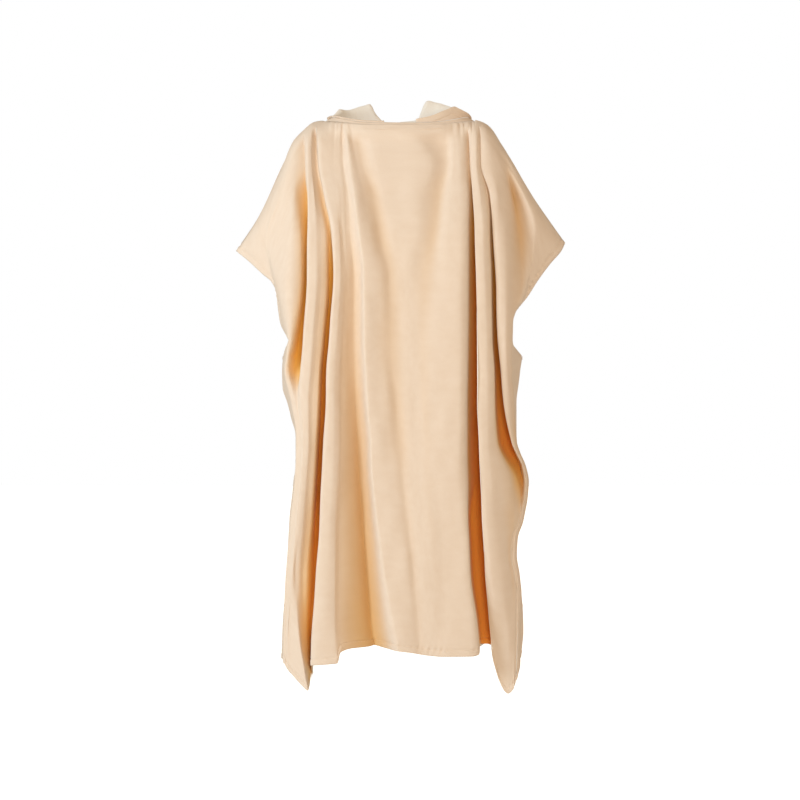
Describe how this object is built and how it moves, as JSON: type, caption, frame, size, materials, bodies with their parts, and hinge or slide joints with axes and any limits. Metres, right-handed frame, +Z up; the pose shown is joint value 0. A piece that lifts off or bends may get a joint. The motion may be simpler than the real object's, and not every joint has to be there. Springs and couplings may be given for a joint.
{
  "type": "hooded bath poncho",
  "caption": "Apricot terry hooded bath poncho as worn: front and back panels in soft folds gathered on a neck band, open at the arms and hem, hood thrown back.",
  "frame": {"origin": "middle of the shoulder line, midway between the two ends of the neckline, where the wearer's neck and shoulders carry the garment", "axes": "+X to the wearer's left, +Y to the wearer's back, +Z up along the hanging cloth"},
  "size_m": [0.658, 0.3258, 1.1814],
  "materials": {
    "apricot_terry": "matt velour face with a short soft pile, looped terry inside"
  },
  "bodies": {
    "root": {"front_panel": "apricot_terry", "back_panel": "apricot_terry", "neck_band": "apricot_terry", "hood_right": "apricot_terry", "hood_left": "apricot_terry"}
  },
  "joints": []
}
